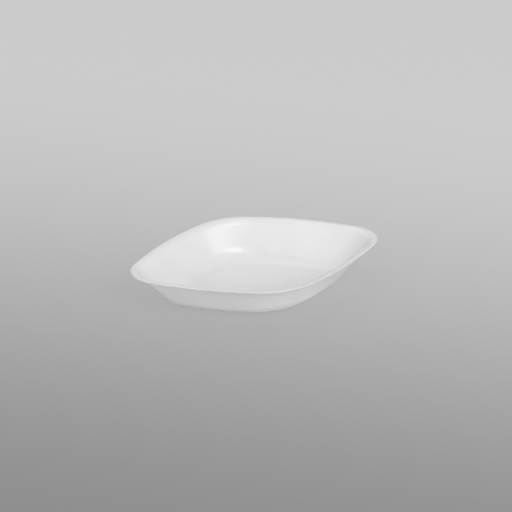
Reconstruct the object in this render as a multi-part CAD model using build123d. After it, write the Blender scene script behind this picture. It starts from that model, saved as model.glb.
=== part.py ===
from build123d import *
import math
import os

# Diamond-shaped weighing boat, thermoformed from one thin sheet.
# Millimetres, +Z up. X runs through the two pointed corners and Y through the two blunt ones.
# The origin is on the table, under the middle of the boat.

# Overall size, over the lip
length = 88.0
width = 60.0
height = 13.0
sheet = 0.4

# Outer edge of the lip, seen from above
rim_tip_radius = 11.7
rim_flank_radius = 25.0

# The four long sides bulge outwards a little: they are arcs of this radius
side_radius = 135.0

# The lip, flat and turned outwards, is broader at the pointed corners
lip_at_tip = 2.4
lip_at_flank = 2.0

# How far the wall leans outwards between the foot and the lip
lean_at_tip = 11.6
lean_at_flank = 6.5

# Corners of the foot, seen from above
foot_tip_radius = 6.9
foot_flank_radius = 18.4

# Radii of the two bends, on the sheet's outer face at the foot and its upper face at the lip
foot_bend = 6.0
lip_bend = 3.2
edge_round = 0.12

# Faces are looked up by their level, to within this
NEAR = 0.01


def outline(long_axis, short_axis, tip_radius, flank_radius, bulge_radius, level):
    """Rounded diamond in a level plane: tip, side and blunt-corner arcs, all tangent."""
    tip_centre = Vector(long_axis / 2 - tip_radius, 0)
    flank_centre = Vector(0, short_axis / 2 - flank_radius)

    # The side's arc touches both corner arcs from outside them, so its centre lies
    # bulge_radius - tip_radius from one corner centre and bulge_radius - flank_radius from the other
    between = flank_centre - tip_centre
    to_tip = bulge_radius - tip_radius
    to_flank = bulge_radius - flank_radius
    along = (between.length**2 + to_tip**2 - to_flank**2) / (2 * between.length)
    across = math.sqrt(to_tip**2 - along**2)
    direction = between.normalized()
    inwards = Vector(-direction.Y, direction.X)
    side_centre = tip_centre + direction * along + inwards * across

    on_tip = side_centre + (tip_centre - side_centre).normalized() * bulge_radius
    on_flank = side_centre + (flank_centre - side_centre).normalized() * bulge_radius
    middle = (on_tip + on_flank) / 2 - side_centre
    on_side = side_centre + middle.normalized() * bulge_radius
    tip = Vector(long_axis / 2, 0)
    flank = Vector(0, short_axis / 2)

    def corner(point, x_sign, y_sign):
        return (point.X * x_sign, point.Y * y_sign)

    def side(x_sign, y_sign):
        return ThreePointArc(
            corner(on_tip, x_sign, y_sign),
            corner(on_side, x_sign, y_sign),
            corner(on_flank, x_sign, y_sign),
        )

    arcs = [
        ThreePointArc(corner(on_tip, 1, -1), tip, corner(on_tip, 1, 1)),
        side(1, 1),
        ThreePointArc(corner(on_flank, 1, 1), flank, corner(on_flank, -1, 1)),
        side(-1, 1),
        ThreePointArc(corner(on_tip, -1, 1), corner(tip, -1, 1), corner(on_tip, -1, -1)),
        side(-1, -1),
        ThreePointArc(corner(on_flank, -1, -1), corner(flank, 1, -1), corner(on_flank, 1, -1)),
        side(1, -1),
    ]
    return Pos(0, 0, level) * make_face(Curve() + arcs)


def rim_outline(level):
    return outline(length, width, rim_tip_radius, rim_flank_radius, side_radius, level)


def shoulder_outline(inset):
    """Where the wall would meet the top of the lip, moved inwards by inset."""
    return outline(
        length - 2 * (lip_at_tip + inset),
        width - 2 * (lip_at_flank + inset),
        rim_tip_radius - lip_at_tip - inset,
        rim_flank_radius - lip_at_flank - inset,
        side_radius - inset,
        height,
    )


def foot_outline(inset):
    """Where the wall would meet the table, moved inwards by inset."""
    return outline(
        length - 2 * (lip_at_tip + lean_at_tip + inset),
        width - 2 * (lip_at_flank + lean_at_flank + inset),
        foot_tip_radius - inset,
        foot_flank_radius - inset,
        side_radius - inset,
        0,
    )


def dish(inset, floor, bend):
    """Solid bowl shape with a flat floor, leaning walls and a rounded bottom edge."""
    leaning = loft([foot_outline(inset), shoulder_outline(inset)], ruled=True)
    above_floor = split(leaning, Plane.XY.offset(floor), keep=Keep.TOP) if floor else leaning
    bottom = above_floor.edges().group_by(Axis.Z)[0]
    return fillet(bottom, bend)


def level_face(boat, level):
    """The flat ring of the lip at this level."""
    return boat.faces().filter_by(Plane.XY).filter_by_position(Axis.Z, level - NEAR, level + NEAR)[0]


def weighing_boat():
    # The sheet is as thick across the leaning wall as it is on the floor
    lean = (lean_at_tip + lean_at_flank) / 2
    sheet_across_wall = sheet * math.hypot(height, lean) / height

    body = dish(0, 0, foot_bend)
    lip = extrude(rim_outline(height - sheet), sheet)
    lip = fillet(lip.edges().filter_by(Axis.Z, reverse=True), edge_round)
    hollow = dish(sheet_across_wall, sheet, foot_bend - sheet)
    boat = body + lip - hollow

    # The lip turns out of the wall in one bend
    boat = fillet(level_face(boat, height).inner_wires()[0].edges(), lip_bend)
    return fillet(level_face(boat, height - sheet).inner_wires()[0].edges(), lip_bend - sheet)


os.makedirs("parts", exist_ok=True)
export_step(weighing_boat(), "parts/weighing_boat.step")
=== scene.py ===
import math

import bpy
import numpy as np
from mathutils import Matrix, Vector


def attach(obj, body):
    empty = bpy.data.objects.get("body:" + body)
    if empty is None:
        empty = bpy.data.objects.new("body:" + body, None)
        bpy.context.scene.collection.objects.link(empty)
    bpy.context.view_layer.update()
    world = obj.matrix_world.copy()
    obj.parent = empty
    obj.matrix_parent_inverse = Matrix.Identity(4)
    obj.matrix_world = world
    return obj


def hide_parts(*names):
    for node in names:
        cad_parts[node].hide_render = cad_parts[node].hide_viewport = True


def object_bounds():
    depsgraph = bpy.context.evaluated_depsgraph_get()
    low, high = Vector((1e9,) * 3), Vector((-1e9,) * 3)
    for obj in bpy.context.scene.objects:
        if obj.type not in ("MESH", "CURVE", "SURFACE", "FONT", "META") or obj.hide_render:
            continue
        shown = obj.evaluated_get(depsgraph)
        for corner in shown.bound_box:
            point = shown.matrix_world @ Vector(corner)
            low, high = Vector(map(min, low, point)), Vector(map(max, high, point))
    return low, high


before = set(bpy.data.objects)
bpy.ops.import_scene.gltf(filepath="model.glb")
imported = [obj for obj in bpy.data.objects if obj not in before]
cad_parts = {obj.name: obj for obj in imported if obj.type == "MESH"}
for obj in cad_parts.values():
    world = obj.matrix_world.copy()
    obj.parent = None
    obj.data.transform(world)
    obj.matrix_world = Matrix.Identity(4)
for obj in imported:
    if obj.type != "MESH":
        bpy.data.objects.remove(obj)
CAD_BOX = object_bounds()

# ---------------------------------------------------------------- the boat's shape, in metres

MM = 0.001
LOW, HIGH = CAD_BOX
LENGTH = HIGH.x - LOW.x
WIDTH = HIGH.y - LOW.y
HEIGHT = HIGH.z - LOW.z
SHEET = 0.4 * MM

# Corners and sides of the rim and of the foot, seen from above, and how the wall and lip spread out
RIM_TIP_RADIUS = 11.7 * MM
RIM_FLANK_RADIUS = 25.0 * MM
SIDE_RADIUS = 135.0 * MM
LIP_AT_TIP = 2.4 * MM
LIP_AT_FLANK = 2.0 * MM
LEAN_AT_TIP = 11.6 * MM
LEAN_AT_FLANK = 6.5 * MM
FOOT_TIP_RADIUS = 6.9 * MM
FOOT_FLANK_RADIUS = 18.4 * MM
LIP_BEND = 3.2 * MM

# The bend at the foot widens into the two blunt corners, over the outer part of the foot's half width
FOOT_BEND = 6.0 * MM
FLANK_FOOT_BEND = 9.0 * MM
WIDENS_FROM = 2 / 3

# Mesh density
ARC_STEPS = 24
BEND_STEPS = 14
WALL_STEPS = 12
LIP_STEPS = 5
EDGE_STEPS = 6
FLOOR_RINGS = 18

# Painted shade along the lip's outer line: how far in from the cut edge it reaches
EDGE_SHADE_BAND = 0.7 * MM


def outline(long_axis, short_axis, tip_radius, flank_radius, bulge_radius):
    """Points round a rounded diamond, the same number on each of its eight arcs, from the +X tip."""
    tip = np.array([long_axis / 2 - tip_radius, 0.0])
    flank = np.array([0.0, short_axis / 2 - flank_radius])
    between = flank - tip
    apart = np.linalg.norm(between)
    to_tip = bulge_radius - tip_radius
    to_flank = bulge_radius - flank_radius
    along = (apart**2 + to_tip**2 - to_flank**2) / (2 * apart)
    across = math.sqrt(to_tip**2 - along**2)
    direction = between / apart
    centre = tip + direction * along + np.array([-direction[1], direction[0]]) * across

    def heading(point):
        return math.atan2(point[1] - centre[1], point[0] - centre[0])

    def arc(middle, radius, start, end, steps):
        turn = np.linspace(start, end, steps, endpoint=False)
        return np.c_[middle[0] + radius * np.cos(turn), middle[1] + radius * np.sin(turn)]

    at_tip = heading(tip)
    at_flank = heading(flank)
    quarter = np.vstack([
        arc(tip, tip_radius, 0, at_tip, ARC_STEPS // 2),
        arc(centre, bulge_radius, at_tip, at_flank, ARC_STEPS),
        arc(flank, flank_radius, at_flank, math.pi / 2, ARC_STEPS // 2),
    ])
    top = np.array([[0.0, short_axis / 2]])
    second = np.vstack([top, quarter[:0:-1] * [-1, 1]])
    half = np.vstack([quarter, second])
    return np.vstack([half, -half])


def boat_stations():
    """Matching outlines of the rim, of the wall's top and of the wall's foot."""
    rim = outline(LENGTH, WIDTH, RIM_TIP_RADIUS, RIM_FLANK_RADIUS, SIDE_RADIUS)
    shoulder = outline(
        LENGTH - 2 * LIP_AT_TIP,
        WIDTH - 2 * LIP_AT_FLANK,
        RIM_TIP_RADIUS - LIP_AT_TIP,
        RIM_FLANK_RADIUS - LIP_AT_FLANK,
        SIDE_RADIUS,
    )
    foot = outline(
        LENGTH - 2 * (LIP_AT_TIP + LEAN_AT_TIP),
        WIDTH - 2 * (LIP_AT_FLANK + LEAN_AT_FLANK),
        FOOT_TIP_RADIUS,
        FOOT_FLANK_RADIUS,
        SIDE_RADIUS,
    )
    return rim, shoulder, foot


def wall_profile(run, lip, foot_bend):
    """The sheet's underside from the floor to the lip's edge: distance out, level and slope."""
    slope = math.atan2(HEIGHT - SHEET, run)
    foot_reach = foot_bend * math.tan(slope / 2)
    lip_radius = LIP_BEND - SHEET
    lip_reach = lip_radius * math.tan(slope / 2)
    points = []
    for turn in np.linspace(0, slope, BEND_STEPS):
        points.append((-foot_reach + foot_bend * math.sin(turn), foot_bend * (1 - math.cos(turn)), turn))
    start = np.array(points[-1][:2])
    end = np.array([run - lip_reach * math.cos(slope), HEIGHT - SHEET - lip_reach * math.sin(slope)])
    for share in np.linspace(0, 1, WALL_STEPS)[1:-1]:
        points.append((*(start + (end - start) * share), slope))
    for turn in np.linspace(slope, 0, BEND_STEPS):
        out = run + lip_reach - lip_radius * math.sin(turn)
        points.append((out, HEIGHT - SHEET - lip_radius * (1 - math.cos(turn)), turn))
    for share in np.linspace(0, 1, LIP_STEPS)[1:]:
        out = run + lip_reach + (lip - lip_reach - SHEET / 2) * share
        points.append((out, HEIGHT - SHEET, 0.0))
    return np.array(points)


def smooth_step(share):
    """Ease a share from 0 to 1, level at both ends."""
    return share**2 * (3 - 2 * share)


def floor_rings(ring):
    """Rings that shrink from the given one towards the middle of the flat floor."""
    shares = np.linspace(1, 0, FLOOR_RINGS + 1)[1:-1]
    return [ring * [share, share, 1] for share in shares]


def boat_mesh():
    """The whole sheet as one closed shell: underside, cut edge, upper side."""
    rim, shoulder, foot = boat_stations()
    outwards = shoulder - foot
    run = np.linalg.norm(outwards, axis=1)
    outwards /= run[:, None]
    lip = np.linalg.norm(rim - shoulder, axis=1)
    around = len(foot)

    off_middle = np.abs(foot[:, 1]) / foot[:, 1].max()
    near_flank = np.clip((off_middle - WIDENS_FROM) / (1 - WIDENS_FROM), 0, 1)
    foot_bend = FOOT_BEND + (FLANK_FOOT_BEND - FOOT_BEND) * smooth_step(near_flank)

    columns = []
    edge_shade_share = []
    for i in range(around):
        under = wall_profile(run[i], lip[i], foot_bend[i])
        normal = np.c_[-np.sin(under[:, 2]), np.cos(under[:, 2])]
        upper = under[:, :2] + normal * SHEET
        # the cut edge, rounded from the underside round to the top
        middle = under[-1, :2] + np.array([0, SHEET / 2])
        turn = np.linspace(-math.pi / 2, math.pi / 2, EDGE_STEPS + 2)[1:-1]
        edge = middle + np.c_[np.cos(turn), np.sin(turn)] * SHEET / 2
        profile = np.vstack([under[:, :2], edge, upper[::-1]])
        place = foot[i] + outwards[i] * profile[:, :1]
        columns.append(np.c_[place, profile[:, 1]])
        # share of painted shade along the lip's outer line, falling to none across the band
        edge_shade_share.append(np.clip(1 - (profile[:, 0].max() - profile[:, 0]) / EDGE_SHADE_BAND, 0, 1))
    rings = np.array(columns).transpose(1, 0, 2)

    under_floor = floor_rings(rings[0])[::-1]
    upper_floor = floor_rings(rings[-1])
    every = np.array([*under_floor, *rings, *upper_floor])
    vertices = every.reshape(-1, 3).tolist()
    faces = []
    for r in range(len(every) - 1):
        for i in range(around):
            j = (i + 1) % around
            a, b = r * around, (r + 1) * around
            faces.append((a + i, a + j, b + j, b + i))

    # a fan closes the middle of the floor, below and above
    low_centre = len(vertices)
    vertices.append((0, 0, 0))
    vertices.append((0, 0, SHEET))
    last = (len(every) - 1) * around
    for i in range(around):
        j = (i + 1) % around
        faces.append((low_centre, j, i))
        faces.append((low_centre + 1, last + i, last + j))
    mesh = bpy.data.meshes.new("weighing_boat_sheet")
    mesh.from_pydata(vertices, [], faces)
    mesh.validate()

    # how much painted shade each point takes: all of it at the cut edge, none from the band's inner side
    # inwards
    no_edge_shade = np.zeros(around * (FLOOR_RINGS - 1))
    painted_edge_shade = np.concatenate([no_edge_shade, np.array(edge_shade_share).T.ravel(), no_edge_shade, [0, 0]])
    mesh.attributes.new("painted_edge_shade", "FLOAT", "POINT").data.foreach_set("value", painted_edge_shade)
    mesh.polygons.foreach_set("use_smooth", [True] * len(mesh.polygons))
    mesh.update()
    return mesh


# ---------------------------------------------------------------- the sheet's material

# Noise scales, per metre
CLOUD_SCALE = 60
WAVE_SCALE = 90
SPECK_SCALE = 900
GRAIN_SCALE = 2500

SHEET_WHITE = (0.80, 0.80, 0.80, 1)
DRAWN_WHITE = (0.765, 0.767, 0.77, 1)
SCUFF_GREY = (0.70, 0.70, 0.695, 1)
# grey of the painted shade on the lip's cut edge
EDGE_SHADE_GREY = (0.68, 0.68, 0.675, 1)

# The most that the scuffs' grey and the painted shade on the cut edge cover
MOST_SCUFFED = 0.35
MOST_EDGE_SHADE = 0.8

# Roughness, from the plain sheet to the milky patches
SATIN = (0.29, 0.35)

# Part of each noise's range that shows
CLOUD_RANGE = (0.3, 0.7)
SPECK_RANGE = (0.66, 0.78)

# How far light travels between scatterings inside the sheet
CLOUDINESS = 0.25 * MM

POLYSTYRENE_IOR = 1.59

# Depth and strength of the two reliefs
GRAIN_DEPTH = 0.02 * MM
GRAIN_STRENGTH = 0.15
WAVE_DEPTH = 0.25 * MM
WAVE_STRENGTH = 0.3

# A Mix node's sockets for two colours and for their blend
FIRST_COLOUR = 6
SECOND_COLOUR = 7
BLEND = 2


def noise(nodes, links, position, scale, detail):
    """Soft noise over the object's own space; returns its value socket."""
    texture = nodes.new("ShaderNodeTexNoise")
    texture.inputs["Scale"].default_value = scale
    texture.inputs["Detail"].default_value = detail
    links.new(position, texture.inputs["Vector"])
    return texture.outputs["Fac"]


def spread(nodes, links, value, old, new):
    """Map a value from one range to another, held at the ends."""
    reach = nodes.new("ShaderNodeMapRange")
    reach.inputs["From Min"].default_value = old[0]
    reach.inputs["From Max"].default_value = old[1]
    reach.inputs["To Min"].default_value = new[0]
    reach.inputs["To Max"].default_value = new[1]
    links.new(value, reach.inputs["Value"])
    return reach.outputs["Result"]


def mix_colours(nodes, links, amount, plain, other):
    """Blend two colours; each is a colour or a socket."""
    mix = nodes.new("ShaderNodeMix")
    mix.data_type = "RGBA"
    links.new(amount, mix.inputs["Factor"])
    for colour, socket in ((plain, mix.inputs[FIRST_COLOUR]), (other, mix.inputs[SECOND_COLOUR])):
        if isinstance(colour, tuple):
            socket.default_value = colour
        else:
            links.new(colour, socket)
    return mix.outputs[BLEND]


def bump(nodes, links, height, strength, depth):
    """Bump node over the given height socket."""
    relief = nodes.new("ShaderNodeBump")
    relief.inputs["Strength"].default_value = strength
    relief.inputs["Distance"].default_value = depth
    links.new(height, relief.inputs["Height"])
    return relief


def polystyrene():
    """Thin white sheet, cloudy right through, with the faint unevenness of hot forming."""
    material = bpy.data.materials.new("white_polystyrene")
    material.use_nodes = True
    nodes = material.node_tree.nodes
    links = material.node_tree.links
    shader = nodes["Principled BSDF"]
    position = nodes.new("ShaderNodeTexCoord").outputs["Object"]

    # milky patches where the sheet was drawn thinner, and fine specks of handling
    clouds = noise(nodes, links, position, CLOUD_SCALE, detail=2)
    specks = noise(nodes, links, position, SPECK_SCALE, detail=4)
    drawn = spread(nodes, links, clouds, CLOUD_RANGE, (0, 1))
    body = mix_colours(nodes, links, drawn, SHEET_WHITE, DRAWN_WHITE)
    scuffed = spread(nodes, links, specks, SPECK_RANGE, (0, MOST_SCUFFED))
    body = mix_colours(nodes, links, scuffed, body, SCUFF_GREY)

    # painted shade along the lip's cut edge, which dulls the bright line the lamps leave on it
    painted_edge_shade = nodes.new("ShaderNodeAttribute")
    painted_edge_shade.attribute_name = "painted_edge_shade"
    edge = spread(nodes, links, painted_edge_shade.outputs["Fac"], (0, 1), (0, MOST_EDGE_SHADE))
    body = mix_colours(nodes, links, edge, body, EDGE_SHADE_GREY)
    links.new(body, shader.inputs["Base Color"])

    # satin, a little duller in the milky patches
    links.new(spread(nodes, links, clouds, CLOUD_RANGE, SATIN), shader.inputs["Roughness"])
    shader.inputs["IOR"].default_value = POLYSTYRENE_IOR
    shader.inputs["Subsurface Weight"].default_value = 1.0
    shader.inputs["Subsurface Radius"].default_value = (1, 1, 1)
    shader.inputs["Subsurface Scale"].default_value = CLOUDINESS

    # grain of the sheet, over the slow waves that cooling leaves
    fine = noise(nodes, links, position, GRAIN_SCALE, detail=3)
    slow = noise(nodes, links, position, WAVE_SCALE, detail=1)
    grain = bump(nodes, links, fine, GRAIN_STRENGTH, GRAIN_DEPTH)
    waves = bump(nodes, links, slow, WAVE_STRENGTH, WAVE_DEPTH)
    links.new(grain.outputs["Normal"], waves.inputs["Normal"])
    links.new(waves.outputs["Normal"], shader.inputs["Normal"])
    return material


boat = bpy.data.objects.new("weighing_boat_sheet", boat_mesh())
bpy.context.scene.collection.objects.link(boat)
boat.data.materials.append(polystyrene())
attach(boat, "root")
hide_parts("weighing_boat")

# ---------------------------------------------------------------- floor, light and camera

FLOOR_HALF = 20.0
FLOOR_ROUGHNESS = 0.9

# Painted light falloff on the floor: its grey is lightest behind the boat and falls off to in front of
# it, between two places along a line that is turned from the Y axis
FLOOR_LIGHTEST = 0.62
FLOOR_DARKEST = 0.27
LIGHT_FROM = 0.16
DARK_FROM = -0.205
FALL_TOWARDS = math.radians(-35)

# Just under the boat, so that the two never share a plane
FLOOR_LEVEL = -0.02 * MM

# How much of the floor's look is its own even glow, which keeps the boat's shadow faint
EVEN_GLOW = 0.85

# What the surroundings and the floor throw at the boat
WORLD_LIGHT = 0.27
FLOOR_BOUNCE = 0.72

LAMP_DISTANCE = 1.1

# Where the photograph was taken from, with azimuth 0 in front of the boat; sensor and lens in millimetres
CAMERA_AZIMUTH = math.radians(-21.45)
CAMERA_ELEVATION = math.radians(25.9)
CAMERA_DISTANCE = 3.0
CAMERA_SENSOR = 36
CAMERA_LENS = 625.7

# The boat stands a little off the middle of the picture: shares of the picture's width
SHIFT_ACROSS = 0.003125
SHIFT_UP = -0.00371


def seen_directly(nodes, links):
    """1 for rays from the camera, from a gloss or through a clear body, 0 for all others."""
    path = nodes.new("ShaderNodeLightPath")
    total = path.outputs["Is Camera Ray"]
    for ray in ("Is Glossy Ray", "Is Transmission Ray"):
        either = nodes.new("ShaderNodeMath")
        either.operation = "MAXIMUM"
        links.new(total, either.inputs[0])
        links.new(path.outputs[ray], either.inputs[1])
        total = either.outputs[0]
    return total


def floor_look():
    """Painted light falloff in grey across the floor where it is seen, and a plain pale floor for the
    light.
    """
    material = bpy.data.materials.new("floor")
    material.use_nodes = True
    nodes = material.node_tree.nodes
    links = material.node_tree.links
    shader = nodes["Principled BSDF"]
    shader.inputs["Roughness"].default_value = FLOOR_ROUGHNESS
    shader.inputs["Specular IOR Level"].default_value = 0.0

    # painted light falloff: the grey falls in one direction across the floor
    coordinates = nodes.new("ShaderNodeTexCoord")
    place = nodes.new("ShaderNodeMapping")
    place.vector_type = "TEXTURE"
    place.inputs["Rotation"].default_value = (0, 0, FALL_TOWARDS)
    links.new(coordinates.outputs["Object"], place.inputs["Vector"])
    along = nodes.new("ShaderNodeSeparateXYZ")
    links.new(place.outputs["Vector"], along.inputs["Vector"])
    painted_falloff = nodes.new("ShaderNodeMapRange")
    painted_falloff.interpolation_type = "SMOOTHSTEP"
    painted_falloff.inputs["From Min"].default_value = DARK_FROM
    painted_falloff.inputs["From Max"].default_value = LIGHT_FROM
    painted_falloff.inputs["To Min"].default_value = FLOOR_DARKEST
    painted_falloff.inputs["To Max"].default_value = FLOOR_LIGHTEST
    links.new(along.outputs["Y"], painted_falloff.inputs["Value"])
    seen = seen_directly(nodes, links)
    bounce = (FLOOR_BOUNCE, FLOOR_BOUNCE, FLOOR_BOUNCE, 1)
    colour = mix_colours(nodes, links, seen, bounce, painted_falloff.outputs["Result"])
    links.new(colour, shader.inputs["Base Color"])

    glow = nodes.new("ShaderNodeEmission")
    links.new(painted_falloff.outputs["Result"], glow.inputs["Color"])
    share = nodes.new("ShaderNodeMath")
    share.operation = "MULTIPLY"
    share.inputs[1].default_value = EVEN_GLOW
    links.new(seen, share.inputs[0])
    blend = nodes.new("ShaderNodeMixShader")
    links.new(share.outputs[0], blend.inputs["Fac"])
    links.new(shader.outputs[0], blend.inputs[1])
    links.new(glow.outputs[0], blend.inputs[2])
    links.new(blend.outputs[0], nodes["Material Output"].inputs["Surface"])
    return material


def floor_plane():
    """Wide plane under the boat."""
    corners = [(-1, -1), (1, -1), (1, 1), (-1, 1)]
    mesh = bpy.data.meshes.new("floor")
    vertices = [(x * FLOOR_HALF, y * FLOOR_HALF, FLOOR_LEVEL) for x, y in corners]
    mesh.from_pydata(vertices, [], [(0, 1, 2, 3)])
    mesh.materials.append(floor_look())
    return bpy.data.objects.new("floor", mesh)


def studio_world():
    """Weak even light; seen directly, it continues the floor's lightest grey."""
    world = bpy.data.worlds.new("studio")
    world.use_nodes = True
    nodes = world.node_tree.nodes
    links = world.node_tree.links
    background = nodes["Background"]
    background.inputs["Color"].default_value = (1, 1, 1, 1)
    seen = seen_directly(nodes, links)
    strength = spread(nodes, links, seen, (0, 1), (WORLD_LIGHT, FLOOR_LIGHTEST))
    links.new(strength, background.inputs["Strength"])
    return world


def softbox(name, azimuth, elevation, watts, size):
    """Square soft light that faces the boat; azimuth 0 is in front of it, 90 on its right."""
    light = bpy.data.lights.new(name, "AREA")
    light.shape = "SQUARE"
    light.size = size
    light.energy = watts
    lamp = bpy.data.objects.new(name, light)
    turn = math.radians(azimuth)
    rise = math.radians(elevation)
    towards = Vector((math.sin(turn) * math.cos(rise), -math.cos(turn) * math.cos(rise), math.sin(rise)))
    lamp.location = towards * LAMP_DISTANCE
    lamp.rotation_mode = "QUATERNION"
    lamp.rotation_quaternion = towards.to_track_quat("Z", "Y")
    bpy.context.scene.collection.objects.link(lamp)


def camera_towards(target):
    """Long-lens camera, from the photograph's angle."""
    data = bpy.data.cameras.new("camera")
    data.sensor_width = CAMERA_SENSOR
    data.lens = CAMERA_LENS
    data.shift_x = SHIFT_ACROSS
    data.shift_y = SHIFT_UP
    camera = bpy.data.objects.new("camera", data)
    back = Vector((
        math.sin(CAMERA_AZIMUTH) * math.cos(CAMERA_ELEVATION),
        -math.cos(CAMERA_AZIMUTH) * math.cos(CAMERA_ELEVATION),
        math.sin(CAMERA_ELEVATION),
    ))
    camera.location = target + back * CAMERA_DISTANCE
    camera.rotation_mode = "QUATERNION"
    camera.rotation_quaternion = (-back).to_track_quat("-Z", "Y")
    bpy.context.scene.collection.objects.link(camera)
    return camera


floor = floor_plane()
bpy.context.scene.collection.objects.link(floor)
bpy.context.scene.world = studio_world()

# A key in front, two wide fills below it, a fill on the left and one from above and behind
softbox("key", 13, 45, 4.0, size=0.36)
softbox("front_right_fill", 42, 20, 4.0, size=0.7)
softbox("front_left_fill", -40, 22, 1.8, size=0.8)
softbox("left_fill", -80, 25, 2.5, size=0.7)
softbox("top_back", -150, 60, 2.5, size=0.8)

bpy.context.scene.camera = camera_towards(Vector((0, 0, HIGH.z)))
bpy.context.scene.view_settings.view_transform = "Standard"
